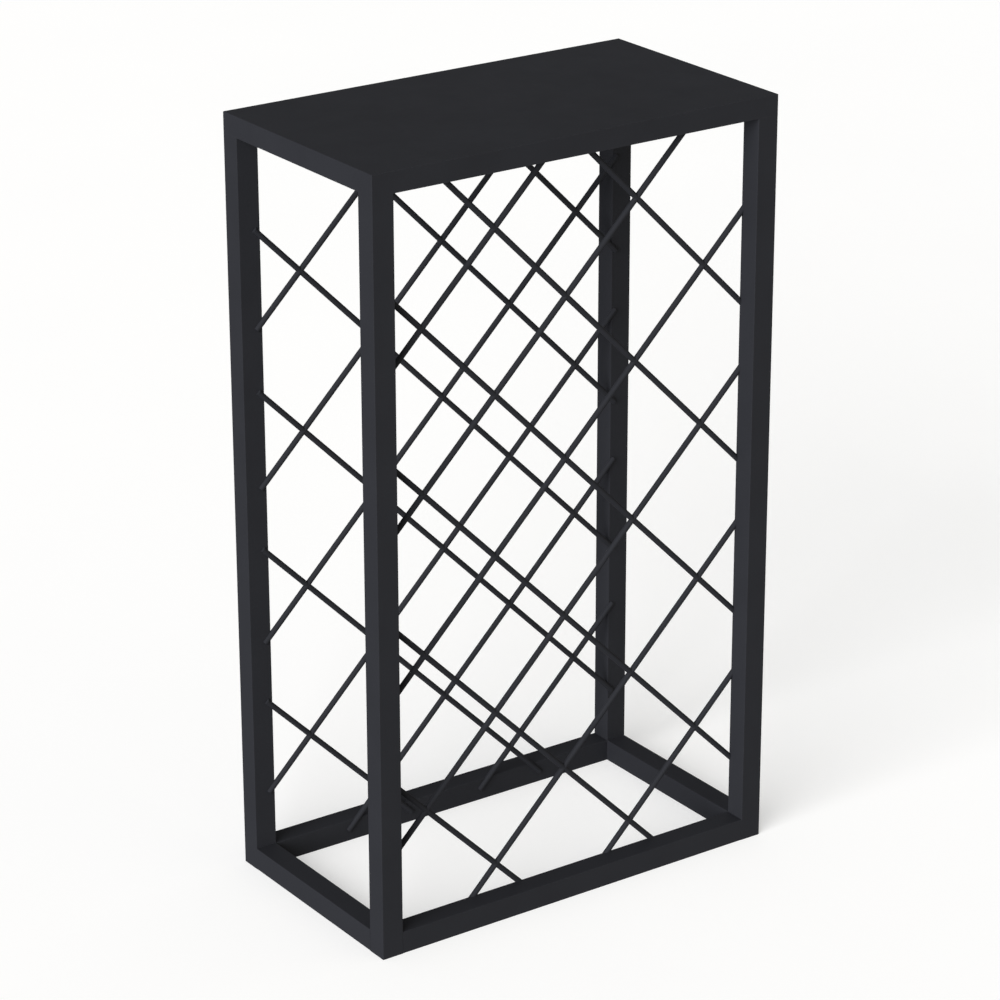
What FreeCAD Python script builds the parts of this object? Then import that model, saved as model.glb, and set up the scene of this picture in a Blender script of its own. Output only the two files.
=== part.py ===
import FreeCAD, Part
import os
import Sketcher

# Wine rack, all lengths in millimetres, +Z up, front at -Y, left at -X.
# The origin is on the floor, under the middle of the rack.
# An open box frame of square steel tube carries a folded sheet-steel top.
# Two diagonal lattices of round rod, one at the front and one at the back, hold the bottles.
# "rise" rods climb to the right and "fall" rods climb to the left.

DRIVING = [
    ("width", 400, "outside, left to right"),
    ("depth", 220, "outside, front to back"),
    ("height", 680, "floor to the top face"),
    ("tube", 20, "side of the square tube"),
    ("wall", 1.5, "wall of the square tube"),
    ("top_edge", 18, "height of the top panel's folded edges"),
    ("sheet", 1.5, "thickness of the top panel's steel"),
    ("lip", 25, "width of the lips folded in under the top panel"),
    ("rod", 5, "diameter of the rods"),
    ("pitch", 100, "spacing of parallel rods, square to them"),
    ("shift", -1, "the lattices' middle, along X from the rack's"),
    ("lap", 5, "how far the rods' ends lie over the posts, apart from the shift"),
    ("plug_floor", 2.5, "thickness of a plug's floor"),
    ("plug_height", 12, "whole height of a plug"),
    ("plug_skin", 1.8, "wall of a plug"),
    ("plug_play", 0.4, "gap between a plug's shank and the tube, each side"),
    ("plug_rib", 1, "height of each gripping rib on a plug"),
    ("plug_bevel", 0.6, "bevel round a plug's lower edge"),
]
RODS_EACH_WAY = 6
RIBS = 2

doc = FreeCAD.newDocument("wine_rack")


# ---- driving dimensions ----

def add_sizes():
    """The spreadsheet that every sub-part reads."""
    sizes = doc.addObject("Spreadsheet::Sheet", "Sizes")
    for row, (alias, value, note) in enumerate(DRIVING, start=1):
        sizes.set(f"A{row}", alias)
        sizes.set(f"B{row}", str(value))
        sizes.setAlias(f"B{row}", alias)
        sizes.set(f"C{row}", note)
    doc.recompute()
    return sizes


def sized(formula):
    """A formula in the sheet's aliases, as an expression that names the sheet."""
    for alias, _, _ in DRIVING:
        formula = formula.replace(f"<{alias}>", f"Sizes.{alias}")
    return formula


def bind(item, **formulas):
    """Ties properties to the sheet; x, y and z are the item's place."""
    for name, formula in formulas.items():
        path = f"Placement.Base.{name}" if name in ("x", "y", "z") else name
        item.setExpression(path, sized(formula))


# ---- sketches and pads ----

def origin_plane(body, role):
    return next(f for f in body.Origin.OriginFeatures if f.Role == role)


def centred_square(sketch, name, side):
    """A square about the sketch's origin, its side tied to the sheet."""
    first = sketch.GeometryCount
    half = 5
    corners = [FreeCAD.Vector(x * half, y * half, 0) for x, y in ((-1, -1), (1, -1), (1, 1), (-1, 1))]
    for i, corner in enumerate(corners):
        sketch.addGeometry(Part.LineSegment(corner, corners[(i + 1) % 4]), False)
    for i in range(4):
        sketch.addConstraint(Sketcher.Constraint("Coincident", first + i, 2, first + (i + 1) % 4, 1))
        direction = "Horizontal" if i % 2 == 0 else "Vertical"
        sketch.addConstraint(Sketcher.Constraint(direction, first + i))
    sketch.addConstraint(Sketcher.Constraint("Symmetric", first, 1, first + 2, 1, -1, 1))
    for axis, line in (("X", first), ("Y", first + 1)):
        index = sketch.addConstraint(Sketcher.Constraint(f"Distance{axis}", line, 1, line, 2, 2 * half))
        sketch.renameConstraint(index, f"{name}_{axis}")
        sketch.setExpression(f"Constraints.{name}_{axis}", sized(side))


def add_pad(body, name, role, squares, length, base="0", both_ways=False):
    """A pad of centred squares, the second one a hole in the first, from a height of base."""
    sketch = body.newObject("Sketcher::SketchObject", f"{name}_outline")
    sketch.AttachmentSupport = [(origin_plane(body, role), "")]
    sketch.MapMode = "FlatFace"
    sketch.setExpression("AttachmentOffset.Base.z", sized(base))
    for label, side in zip(("outer", "inner"), squares):
        centred_square(sketch, label, side)
    pad = body.newObject("PartDesign::Pad", name)
    pad.Profile = sketch
    pad.SideType = "Symmetric" if both_ways else "One side"
    bind(pad, Length=length)
    sketch.Visibility = False
    return pad


def add_body(label):
    body = doc.addObject("PartDesign::Body", label)
    body.Label = label
    return body


# ---- frame ----

def add_post(label, side, face):
    """An upright tube in one corner, open at both ends."""
    post = add_body(label)
    add_pad(post, f"{label}_tube", "XY_Plane", ("<tube>", "<tube> - 2 * <wall>"), "<height> - <top_edge>")
    bind(post, x=f"{side} * (<width> - <tube>) / 2", y=f"{face} * (<depth> - <tube>) / 2")
    return post


def add_rail(label, role, length, x="0", y="0"):
    """A level tube on the floor, butted between two posts."""
    rail = add_body(label)
    squares = ("<tube>", "<tube> - 2 * <wall>")
    add_pad(rail, f"{label}_tube", role, squares, length, both_ways=True)
    bind(rail, x=x, y=y, z="<tube> / 2")
    return rail


def add_plug(label, side, face):
    """A ribbed plastic cup pressed into a post's lower end, flush with it."""
    plug = add_body(label)
    bore = "<tube> - 2 * <wall>"
    hollow = f"{bore} - 2 * <plug_play> - 2 * <plug_skin>"
    floor = add_pad(plug, f"{label}_floor", "XY_Plane", (bore,), "<plug_floor>")
    doc.recompute()
    bevel = plug.newObject("PartDesign::Chamfer", f"{label}_bevel")
    bevel.Base = (floor, [lowest_face(floor.Shape)])
    bind(bevel, Size="<plug_bevel>")
    shank = (f"{bore} - 2 * <plug_play>", hollow)
    add_pad(plug, f"{label}_shank", "XY_Plane", shank, "<plug_height> - <plug_floor>", "<plug_floor>")
    for i in range(RIBS):
        base = f"<plug_floor> + (<plug_height> - <plug_floor>) * {i + 1} / {RIBS + 1}"
        add_pad(plug, f"{label}_rib_{i + 1}", "XY_Plane", (bore, hollow), "<plug_rib>", base)
    bind(plug, x=f"{side} * (<width> - <tube>) / 2", y=f"{face} * (<depth> - <tube>) / 2")
    return plug


def lowest_face(shape):
    heights = [face.CenterOfMass.z for face in shape.Faces]
    return f"Face{heights.index(min(heights)) + 1}"


def add_box(name, length, width, height, x, y, z):
    box = doc.addObject("Part::Box", name)
    bind(box, Length=length, Width=width, Height=height, x=x, y=y, z=z)
    return box


def add_fuse(name, items):
    fuse = doc.addObject("Part::MultiFuse", name)
    fuse.Shapes = items
    return fuse


def add_cut(name, base, tool):
    cut = doc.addObject("Part::Cut", name)
    cut.Base = base
    cut.Tool = tool
    cut.Label = name
    return cut


def add_top():
    """A folded sheet: flat top, plain edges, and lips turned in underneath."""
    envelope = add_box(
        "top_envelope", "<width>", "<depth>", "<top_edge>",
        "-<width> / 2", "-<depth> / 2", "<height> - <top_edge>",
    )
    cavity = add_box(
        "top_cavity", "<width> - 2 * <sheet>", "<depth> - 2 * <sheet>", "<top_edge> - 2 * <sheet>",
        "<sheet> - <width> / 2", "<sheet> - <depth> / 2", "<height> - <top_edge> + <sheet>",
    )
    mouth = add_box(
        "top_mouth", "<width> - 2 * <lip>", "<depth> - 2 * <lip>", "2 * <sheet>",
        "<lip> - <width> / 2", "<lip> - <depth> / 2", "<height> - <top_edge> - <sheet> / 2",
    )
    return envelope, add_cut("top_panel", envelope, add_fuse("top_hollow", [cavity, mouth]))


# ---- lattices ----

def rod_line(way, number):
    """Formulas for one rod: its lower end, its length and its place.

    Along u, which is X for a rising rod and -X for a falling one, the rod climbs at 45 degrees.
    The rods of each way are a diagonal pitch apart, and the first of each meet at the top face.
    A rod's ends lie a short way over the posts, on a rail's middle line or under the top panel.
    """
    offset = f"(<height> - {way} * <shift> - {number} * <pitch> * sqrt(2))"
    reach = "(<width> / 2 - <tube> + <lap>)"
    start = f"max({way} * <shift> - {reach}; <tube> / 2 - {offset})"
    end = f"min({way} * <shift> + {reach}; <height> - <top_edge> / 2 - {offset})"
    return {
        "Height": f"({end} - {start}) * sqrt(2)",
        "x": f"{way} * {start}",
        "z": f"{start} + {offset}",
    }


def add_bar(name, way, number, face, turn=0, angle=360):
    """A rod's cylinder, or half of it: an angle of 180 keeps the half that turn brings round."""
    bar = doc.addObject("Part::Cylinder", name)
    bar.Placement.Rotation = FreeCAD.Rotation(FreeCAD.Vector(0, 1, 0), way * 45) * FreeCAD.Rotation(
        FreeCAD.Vector(0, 0, 1), turn
    )
    bar.Angle = angle
    bind(bar, Radius="<rod> / 2", y=f"{face} * (<depth> / 2 - <tube>)", **rod_line(way, number))
    return bar


def add_lattice(side_name, face, top_envelope):
    """Six rods each way, with their axes in the plane of the tubes' inner faces.

    Where two rods cross, each gives up half its thickness, so that they lie in one plane.
    Where a rod lies on a tube, the half that would be in the tube is cut away.
    """
    outline = add_box(
        f"{side_name}_outline", "<width>", "<tube>", "<height>",
        "-<width> / 2", f"{face} * (<depth> - <tube>) / 2 - <tube> / 2", "0",
    )
    window = add_box(
        f"{side_name}_window", "<width> - 2 * <tube>", "<tube>", "<height> - <tube> - <top_edge>",
        "<tube> - <width> / 2", f"{face} * (<depth> - <tube>) / 2 - <tube> / 2", "<tube>",
    )
    border = add_cut(f"{side_name}_border", outline, window)
    keep_out = add_fuse(f"{side_name}_keep_out", [border, top_envelope])
    ways = {"rise": 1, "fall": -1}
    # A half cylinder is on the +Y side unless it is turned round.
    # Falling rods keep their outer half at a crossing, and rising rods their inner half.
    outer_turn = 0 if face > 0 else 180
    kept_turn = {"rise": outer_turn + 180, "fall": outer_turn}
    halves = {
        name: [
            add_bar(f"{side_name}_{name}_half_{i + 1}", way, i, face, kept_turn[name], 180)
            for i in range(RODS_EACH_WAY)
        ]
        for name, way in ways.items()
    }
    rods = []
    for name, way in ways.items():
        crossing = halves["fall" if name == "rise" else "rise"]
        tool = add_fuse(f"{side_name}_{name}_tool", [keep_out, *crossing])
        for i in range(RODS_EACH_WAY):
            bar = add_bar(f"{side_name}_{name}_bar_{i + 1}", way, i, face)
            rods.append(add_cut(f"{side_name}_rod_{name}_{i + 1}", bar, tool))
    return rods


# ---- assembly ----

SIDES = {"left": -1, "right": 1}
FACES = {"front": -1, "back": 1}


def build():
    add_sizes()
    top_envelope, top_panel = add_top()
    nodes = [top_panel]
    for face_name, face in FACES.items():
        for side_name, side in SIDES.items():
            nodes.append(add_post(f"post_{face_name}_{side_name}", side, face))
            nodes.append(add_plug(f"plug_{face_name}_{side_name}", side, face))
        place = f"{face} * (<depth> - <tube>) / 2"
        nodes.append(add_rail(f"rail_{face_name}", "YZ_Plane", "<width> - 2 * <tube>", y=place))
        nodes.extend(add_lattice(face_name, face, top_envelope))
    for side_name, side in SIDES.items():
        place = f"{side} * (<width> - <tube>) / 2"
        nodes.append(add_rail(f"rail_{side_name}", "XZ_Plane", "<depth> - 2 * <tube>", x=place))
    doc.recompute()
    return nodes


def check(nodes):
    """Stops unless every object is sound and every sub-part is one valid solid."""
    failed = [item.Name for item in doc.Objects if {"Invalid", "Error"} & set(item.State)]
    if failed:
        raise RuntimeError(f"failed objects: {failed}")
    for node in nodes:
        if node.Shape.isNull() or not node.Shape.isValid():
            raise RuntimeError(f"{node.Label} has no valid shape")
        if len(node.Shape.Solids) != 1:
            raise RuntimeError(f"{node.Label} has {len(node.Shape.Solids)} solids")


def export(nodes):
    os.makedirs("parts", exist_ok=True)
    for node in nodes:
        node.Shape.exportStep(f"parts/{node.Label}.step")
        print(f"{node.Label:24s} {node.Shape.Volume:12.2f} mm3")


nodes = build()
check(nodes)
export(nodes)
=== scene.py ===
import math

import bpy
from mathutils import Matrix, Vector


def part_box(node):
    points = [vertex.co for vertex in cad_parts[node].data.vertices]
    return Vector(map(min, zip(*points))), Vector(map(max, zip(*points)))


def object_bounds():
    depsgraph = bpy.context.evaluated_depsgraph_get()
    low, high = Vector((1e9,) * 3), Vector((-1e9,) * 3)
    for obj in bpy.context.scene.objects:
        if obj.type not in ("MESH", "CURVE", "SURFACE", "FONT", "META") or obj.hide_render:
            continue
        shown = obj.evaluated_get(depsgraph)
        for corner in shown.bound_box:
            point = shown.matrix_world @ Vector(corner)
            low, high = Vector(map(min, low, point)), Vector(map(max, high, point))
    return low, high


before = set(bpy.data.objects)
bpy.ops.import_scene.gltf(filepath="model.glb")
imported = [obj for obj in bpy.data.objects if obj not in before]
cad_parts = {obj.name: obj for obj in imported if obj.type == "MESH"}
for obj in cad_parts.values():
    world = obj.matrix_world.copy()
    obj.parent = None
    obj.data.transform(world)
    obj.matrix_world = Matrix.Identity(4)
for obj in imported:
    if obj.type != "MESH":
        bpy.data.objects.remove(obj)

# A wine rack of powder-coated steel: square tubes, a folded top and two lattices of round rod.
# Lengths are in metres, angles in degrees, and colours are linear.

CAD_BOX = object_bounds()

# ---- powder coat ----

COAT_DARK = (0.0188, 0.0195, 0.0232)      # charcoal black, and its paler grains and clouds
COAT_LIGHT = (0.0217, 0.0226, 0.0269)
COAT_WORN = (0.0420, 0.0430, 0.0470)      # where an edge has been rubbed
COAT_ROUGHNESS = (0.54, 0.57)             # of its glossier and its duller patches
COAT_SPECULAR = 0.03
COAT_GRAIN = 0.0007                       # widths of the grains, the clouds and the gloss patches
COAT_CLOUD = 0.05
COAT_GLOSS_PATCH = 0.018
GRAIN_SHARE = 0.5                         # of the grains in the shade, and the clouds have the rest
PEEL_WIDTH = 0.0028                       # orange peel
PEEL_DEPTH = 0.00012
PEEL_STRENGTH = 0.30
SAND_WIDTH = 0.0005                       # the finer relief over it
SAND_DEPTH = 0.00003
SAND_STRENGTH = 0.35
WEAR_REACH = 0.0012                       # how far from an edge the coat is rubbed
WEAR_PATCH = 0.006
WEAR_SHARE = 0.5                          # of the worn colour, where an edge is rubbed most
WEAR_POLISH = 0.08                        # how much roughness is lost there

# ---- moulded plastic ----

PLASTIC_DARK = (0.0080, 0.0080, 0.0085)
PLASTIC_LIGHT = (0.0130, 0.0130, 0.0135)
PLASTIC_ROUGHNESS = (0.55, 0.70)
PLASTIC_SPECULAR = 0.3
PLASTIC_CLOUD = 0.004
PLASTIC_GLOSS_PATCH = 0.002
PLASTIC_GRAIN = 0.0004
PLASTIC_GRAIN_DEPTH = 0.00004
PLASTIC_GRAIN_STRENGTH = 0.5

# ---- ranges that are stretched to the whole from 0 to 1, or from one value to another ----

SHADE_NOISE = (0.35, 0.65)                # the coat's noise, from its dark colour to its light one
GLOSS_NOISE = (0.3, 0.7)                  # noise, from glossy to dull
WEAR_NOISE = (0.45, 0.70)                 # noise, from no wear to full wear
EDGE_TURN = (0.995, 0.80)                 # cosine between a face and its edge's rounding, likewise

# ---- edges ----

SAME_POINT = 1e-5                         # vertices nearer than this are one
STEEL_EDGE = 0.0005                       # rounding of the free edges of the tubes and the top
EDGE_SEGMENTS = 3
FLAT_WITHIN = 0.5                         # triangles nearer in angle than this are one flat face
CREASE = 40                               # faces further apart in angle meet in a sharp edge

# ---- floor, sky and light ----

FLOOR_PALE = (0.60, 0.60, 0.60)
FLOOR_PALER = (0.62, 0.62, 0.62)
FLOOR_CLOUD = 0.4
FLOOR_ROUGHNESS = 0.9
FLOOR_SPECULAR = 0.05
FLOOR_GLOW = 0.46                         # keeps the shadow on the floor faint
FLOOR_SIZE = 40
FLOOR_GAP = 0.0001                        # keeps the floor out of the plane of the rack's feet
SKY_ON_RACK = 0.32                        # the sky's strength as light, and as the camera sees it
SKY_IN_VIEW = 1.0
WHITE = (1.0, 1.0, 1.0)
WARM = (1.0, 0.90, 0.55)

# ---- camera ----

VIEW_AZIMUTH = -35.29                     # round from the front, towards the right
VIEW_ELEVATION = 21.61
VIEW_DISTANCE = 3.163
VIEW_REACH = 100
AIM = Vector((0.0102, -0.0070, 0.3405))
LENS_MM = 133.95
SENSOR_MM = 36
SHIFT = (-0.0180, -0.0110)


# ---- nodes of a material ----

class Shader:
    """A material with one Principled shader, and short calls that add nodes to it."""

    def __init__(self, name):
        self.material = bpy.data.materials.new(name)
        self.material.use_nodes = True
        self.tree = self.material.node_tree
        self.surface = next(n for n in self.tree.nodes if n.type == "BSDF_PRINCIPLED")
        self.place = self.add("ShaderNodeTexCoord").outputs["Object"]

    def add(self, kind, **settings):
        node = self.tree.nodes.new(kind)
        for name, value in settings.items():
            setattr(node, name, value)
        return node

    def feed(self, socket, value):
        """Links a node's output to a socket, or sets the socket to a number or a colour."""
        if isinstance(value, bpy.types.NodeSocket):
            self.tree.links.new(value, socket)
        elif isinstance(value, tuple) and len(value) == 3 and socket.type == "RGBA":
            socket.default_value = (*value, 1)
        else:
            socket.default_value = value

    def noise(self, size, detail):
        """Noise whose blobs are about size metres across, with detail layers of finer noise."""
        node = self.add("ShaderNodeTexNoise")
        self.feed(node.inputs["Vector"], self.place)
        self.feed(node.inputs["Scale"], 1 / size)
        self.feed(node.inputs["Detail"], detail)
        self.feed(node.inputs["Roughness"], 0.5)
        return node.outputs["Fac"]

    def remap(self, value, given, wanted=(0.0, 1.0)):
        """Takes the ends of the given range to the ends of the wanted one, and goes no further."""
        node = self.add("ShaderNodeMapRange")
        for socket, number in zip(node.inputs, (value, *given, *wanted)):
            self.feed(socket, number)
        return node.outputs["Result"]

    def maths(self, operation, first, second):
        node = self.add("ShaderNodeMath", operation=operation)
        self.feed(node.inputs[0], first)
        self.feed(node.inputs[1], second)
        return node.outputs["Value"]

    def vector_maths(self, operation, *vectors):
        node = self.add("ShaderNodeVectorMath", operation=operation)
        for socket, vector in zip(node.inputs, vectors):
            self.feed(socket, vector)
        return node.outputs["Value"] if operation == "DOT_PRODUCT" else node.outputs["Vector"]

    def blend(self, factor, first, second):
        """Mixes two colours."""
        node = self.add("ShaderNodeMix", data_type="RGBA")
        factor_socket = next(s for s in node.inputs if s.name == "Factor" and s.type == "VALUE")
        colours = [s for s in node.inputs if s.type == "RGBA"]
        self.feed(factor_socket, factor)
        self.feed(colours[0], first)
        self.feed(colours[1], second)
        return next(s for s in node.outputs if s.type == "RGBA")

    def bump(self, height, depth, strength, under=None):
        """A bump whose full height is depth metres, laid over another bump."""
        node = self.add("ShaderNodeBump")
        self.feed(node.inputs["Height"], height)
        self.feed(node.inputs["Distance"], depth)
        self.feed(node.inputs["Strength"], strength)
        if under:
            self.feed(node.inputs["Normal"], under)
        return node.outputs["Normal"]

    def edges(self, reach, free):
        """1 at sharp edges, falling to 0 within reach metres of them, save where they are joined.

        free has 1 for each axis that a free edge turns the surface along, and 0 for the others.
        """
        rounded = self.add("ShaderNodeBevel", samples=6)
        self.feed(rounded.inputs["Radius"], reach)
        turned = self.vector_maths("MULTIPLY", rounded.outputs["Normal"], free)
        turned = self.vector_maths("NORMALIZE", turned)
        plain = self.add("ShaderNodeNewGeometry").outputs["Normal"]
        return self.remap(self.vector_maths("DOT_PRODUCT", turned, plain), EDGE_TURN)

    def finish(self, **values):
        """Sets or links the surface's sockets by name."""
        for name, value in values.items():
            self.feed(self.surface.inputs[name.replace("_", " ")], value)
        return self.material


def powder_coat(name, free=None):
    """Satin powder coat: fine grains over a faint orange peel, slightly mottled.

    free is as for Shader.edges. Free edges are rubbed paler, and without free no edge is.
    """
    coat = Shader(name)
    grains = coat.maths("MULTIPLY", coat.noise(COAT_GRAIN, detail=1.0), GRAIN_SHARE)
    clouds = coat.maths("MULTIPLY", coat.noise(COAT_CLOUD, detail=3.0), 1 - GRAIN_SHARE)
    shade = coat.remap(coat.maths("ADD", grains, clouds), SHADE_NOISE)
    colour = coat.blend(shade, COAT_DARK, COAT_LIGHT)
    gloss = coat.remap(coat.noise(COAT_GLOSS_PATCH, detail=4.0), GLOSS_NOISE, COAT_ROUGHNESS)
    if free:
        patchy = coat.remap(coat.noise(WEAR_PATCH, detail=3.0), WEAR_NOISE)
        rubbed = coat.maths("MULTIPLY", coat.edges(WEAR_REACH, free), patchy)
        colour = coat.blend(coat.maths("MULTIPLY", rubbed, WEAR_SHARE), colour, COAT_WORN)
        gloss = coat.maths("SUBTRACT", gloss, coat.maths("MULTIPLY", rubbed, WEAR_POLISH))
    peel = coat.bump(coat.noise(PEEL_WIDTH, detail=1.5), PEEL_DEPTH, PEEL_STRENGTH)
    relief = coat.bump(coat.noise(SAND_WIDTH, detail=2.0), SAND_DEPTH, SAND_STRENGTH, under=peel)
    return coat.finish(
        Base_Color=colour, Roughness=gloss, Normal=relief,
        Metallic=0.0, Specular_IOR_Level=COAT_SPECULAR,
    )


def moulded_plastic(name):
    """Matt black plastic with the fine grain of a spark-eroded mould."""
    plastic = Shader(name)
    colour = plastic.blend(plastic.noise(PLASTIC_CLOUD, detail=2.0), PLASTIC_DARK, PLASTIC_LIGHT)
    patches = plastic.noise(PLASTIC_GLOSS_PATCH, detail=2.0)
    grain = plastic.noise(PLASTIC_GRAIN, detail=2.0)
    return plastic.finish(
        Base_Color=colour,
        Roughness=plastic.remap(patches, GLOSS_NOISE, PLASTIC_ROUGHNESS),
        Normal=plastic.bump(grain, PLASTIC_GRAIN_DEPTH, PLASTIC_GRAIN_STRENGTH),
        Specular_IOR_Level=PLASTIC_SPECULAR,
    )


def pale_floor(name):
    floor = Shader(name)
    return floor.finish(
        Base_Color=floor.blend(floor.noise(FLOOR_CLOUD, detail=2.0), FLOOR_PALE, FLOOR_PALER),
        Roughness=FLOOR_ROUGHNESS, Specular_IOR_Level=FLOOR_SPECULAR,
        Emission_Color=WHITE, Emission_Strength=FLOOR_GLOW,
    )


# ---- CAD nodes ----

def length_axis(low, high):
    """The axis along which a box is longest."""
    size = high - low
    return max(range(3), key=lambda axis: size[axis])


def mark_edges(node, chosen):
    """Marks for the bevel the edges whose two ends chosen says yes to."""
    mesh = node.data
    weights = mesh.attributes.new("bevel_weight_edge", "FLOAT", "EDGE")
    for edge in mesh.edges:
        first, second = (mesh.vertices[i].co for i in edge.vertices)
        weights.data[edge.index].value = 1.0 if chosen(first, second) else 0.0


def mark_tube_edges(node, low, high):
    """Marks the four long outer edges of a tube."""
    along = length_axis(low, high)
    across = [axis for axis in range(3) if axis != along]

    def chosen(first, second):
        outside = all(min(abs(first[a] - low[a]), abs(first[a] - high[a])) < SAME_POINT for a in across)
        return outside and all(abs(first[a] - second[a]) < SAME_POINT for a in across)

    mark_edges(node, chosen)


def mark_top_edges(node, low, high):
    """Marks the edges of the top face and the upright corners, but not the lower edges."""
    underside = (2, 0)

    def faces_touched(point):
        """The box's faces that a point is on: each an axis, with 0 for its low end and 1 for its high."""
        return {(a, end) for a in range(3) for end, corner in enumerate((low, high))
                if abs(point[a] - corner[a]) < SAME_POINT}

    def chosen(first, second):
        shared = faces_touched(first) & faces_touched(second)
        return len(shared) >= 2 and underside not in shared

    mark_edges(node, chosen)


def join_faces(node):
    """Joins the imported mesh's triangles at their corners, and into whole flat faces."""
    weld = node.modifiers.new("joined", "WELD")
    weld.merge_threshold = SAME_POINT
    whole = node.modifiers.new("whole_faces", "DECIMATE")
    whole.decimate_type = "DISSOLVE"
    whole.angle_limit = math.radians(FLAT_WITHIN)


def round_edges(node):
    """Rounds the marked edges."""
    bevel = node.modifiers.new("rounded", "BEVEL")
    bevel.limit_method = "WEIGHT"
    bevel.width = STEEL_EDGE
    bevel.segments = EDGE_SEGMENTS
    bevel.use_clamp_overlap = True


def shading_group():
    """Nodes that drop a mesh's stored normals, and leave its faces smooth between sharp edges."""
    tree = bpy.data.node_groups.new("shading", "GeometryNodeTree")
    tree.interface.new_socket("Mesh", in_out="INPUT", socket_type="NodeSocketGeometry")
    tree.interface.new_socket("Mesh", in_out="OUTPUT", socket_type="NodeSocketGeometry")
    start = tree.nodes.new("NodeGroupInput")
    end = tree.nodes.new("NodeGroupOutput")
    angle = tree.nodes.new("GeometryNodeInputMeshEdgeAngle")
    sharp = tree.nodes.new("FunctionNodeCompare")
    sharp.data_type = "FLOAT"
    sharp.operation = "GREATER_THAN"
    sharp.inputs[1].default_value = math.radians(CREASE)
    shade = tree.nodes.new("GeometryNodeSetMeshNormal")
    shade.mode = "SHARPNESS"
    shade.inputs["Remove Custom"].default_value = True
    shade.inputs["Face Sharpness"].default_value = False
    tree.links.new(start.outputs[0], shade.inputs["Mesh"])
    tree.links.new(angle.outputs["Unsigned Angle"], sharp.inputs[0])
    tree.links.new(sharp.outputs[0], shade.inputs["Edge Sharpness"])
    tree.links.new(shade.outputs[0], end.inputs[0])
    return tree


def shade_evenly(node, group):
    """Keeps the broad faces flat and the rounded edges smooth."""
    node.modifiers.new("shading", "NODES").node_group = group
    weighted = node.modifiers.new("flat_faces", "WEIGHTED_NORMAL")
    weighted.mode = "FACE_AREA"
    weighted.weight = 100
    weighted.keep_sharp = True


def dress(thing, material):
    thing.data.materials.clear()
    thing.data.materials.append(material)


def finish_nodes():
    """Gives every node its material, and smooth shading to all but the rods, which have it."""
    # A tube's edges are free along its length and joined at its ends.
    tube_coats = [
        powder_coat(f"tube_coat_{'xyz'[along]}", free=tuple(int(axis != along) for axis in range(3)))
        for along in range(3)
    ]
    top_coat = powder_coat("top_coat", free=(1, 1, 1))
    rod_coat = powder_coat("rod_coat")
    plastic = moulded_plastic("plug_plastic")
    shading = shading_group()
    for name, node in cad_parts.items():
        low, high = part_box(name)
        if "_rod_" in name:
            dress(node, rod_coat)
            continue
        join_faces(node)
        if name.startswith("plug_"):
            dress(node, plastic)
        elif name == "top_panel":
            mark_top_edges(node, low, high)
            round_edges(node)
            dress(node, top_coat)
        else:
            mark_tube_edges(node, low, high)
            round_edges(node)
            dress(node, tube_coats[length_axis(low, high)])
        shade_evenly(node, shading)


# ---- studio ----

def outward(azimuth, elevation):
    """The direction from the rack to something that is seen from it at an azimuth and elevation.

    Azimuth 0 is in front of the rack and 90 on its right.
    """
    around = math.radians(azimuth)
    up = math.radians(elevation)
    return Vector((
        math.sin(around) * math.cos(up),
        -math.cos(around) * math.cos(up),
        math.sin(up),
    ))


def add_floor():
    """A pale floor that shows the rack's shadow, and neither lights nor shades the rack."""
    half = FLOOR_SIZE / 2
    height = CAD_BOX[0].z - FLOOR_GAP
    corners = [(x * half, y * half, height) for x, y in ((-1, -1), (1, -1), (1, 1), (-1, 1))]
    mesh = bpy.data.meshes.new("floor")
    mesh.from_pydata(corners, [], [(0, 1, 2, 3)])
    floor = bpy.data.objects.new("floor", mesh)
    bpy.context.scene.collection.objects.link(floor)
    dress(floor, pale_floor("floor_pale"))
    floor.visible_diffuse = False
    floor.visible_glossy = False
    floor.visible_shadow = False


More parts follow.
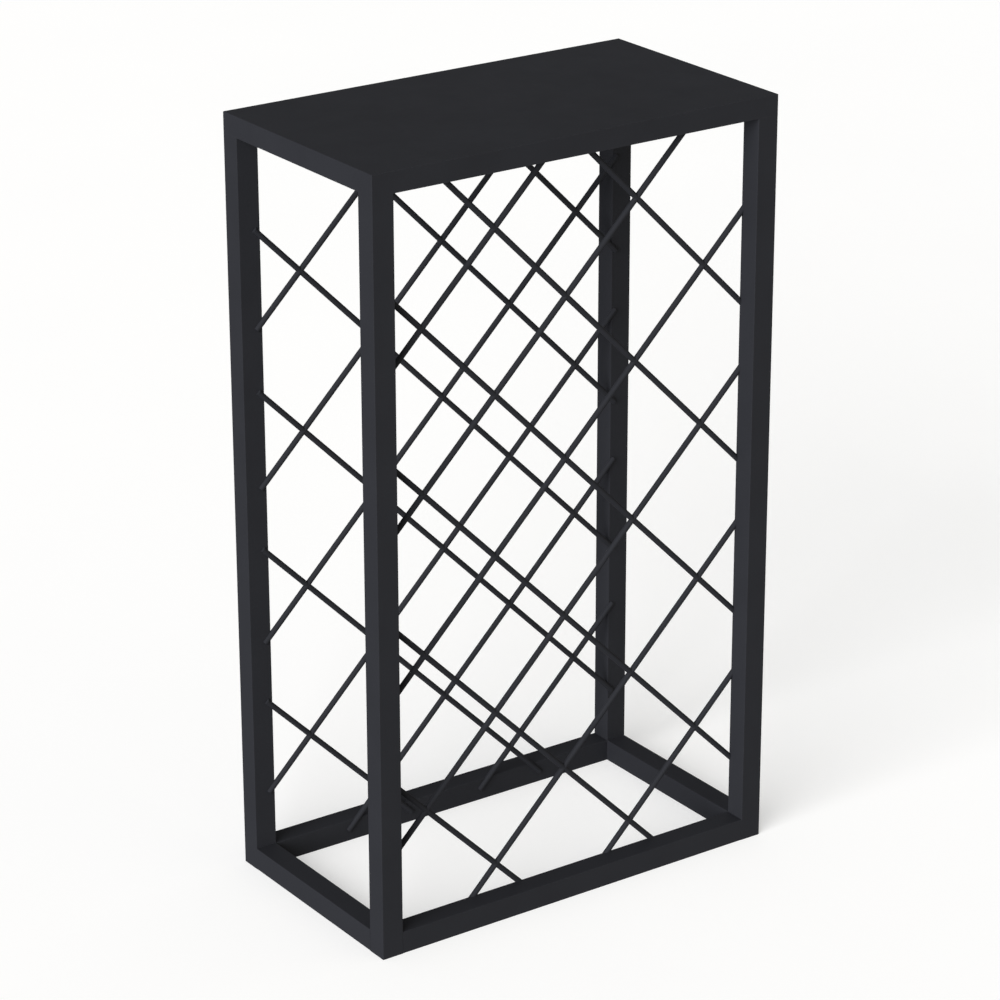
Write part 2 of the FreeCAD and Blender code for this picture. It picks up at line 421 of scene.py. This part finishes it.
def add_light(name, azimuth, elevation, strength, spread, colour=WHITE, glints=True):
    """A far, soft light that comes from outward(azimuth, elevation)."""
    light = bpy.data.lights.new(name, "SUN")
    light.energy = strength
    light.angle = math.radians(spread)
    light.color = colour
    lamp = bpy.data.objects.new(name, light)
    lamp.rotation_euler = outward(azimuth, elevation).to_track_quat("Z", "Y").to_euler()
    lamp.visible_glossy = glints
    bpy.context.scene.collection.objects.link(lamp)


def add_lights():
    add_light("key", azimuth=-65, elevation=18, strength=5.2, spread=48)
    add_light("fill", azimuth=30, elevation=10, strength=0.45, spread=90, colour=WARM)
    # Opposite the camera and under the floor, this one lights only the sides away from the camera.
    add_light(
        "from_behind", azimuth=VIEW_AZIMUTH + 180, elevation=-VIEW_ELEVATION,
        strength=2.4, spread=30, glints=False,
    )


def add_sky():
    """An even, dim sky that the camera sees as a pale backdrop."""
    world = bpy.data.worlds.new("studio")
    world.use_nodes = True
    tree = world.node_tree
    background = next(n for n in tree.nodes if n.type == "BACKGROUND")
    background.inputs["Color"].default_value = (*WHITE, 1)
    path = tree.nodes.new("ShaderNodeLightPath")
    level = tree.nodes.new("ShaderNodeMapRange")
    tree.links.new(path.outputs["Is Camera Ray"], level.inputs["Value"])
    level.inputs["To Min"].default_value = SKY_ON_RACK
    level.inputs["To Max"].default_value = SKY_IN_VIEW
    tree.links.new(level.outputs["Result"], background.inputs["Strength"])
    bpy.context.scene.world = world


def add_camera():
    back = outward(VIEW_AZIMUTH, VIEW_ELEVATION)
    data = bpy.data.cameras.new("camera")
    data.sensor_width = SENSOR_MM
    data.lens = LENS_MM
    data.shift_x, data.shift_y = SHIFT
    data.clip_end = VIEW_REACH
    camera = bpy.data.objects.new("camera", data)
    camera.location = AIM + back * VIEW_DISTANCE
    camera.rotation_euler = (-back).to_track_quat("-Z", "Y").to_euler()
    bpy.context.scene.collection.objects.link(camera)
    bpy.context.scene.camera = camera


finish_nodes()
add_floor()
add_lights()
add_sky()
add_camera()
bpy.context.scene.view_settings.view_transform = "Standard"
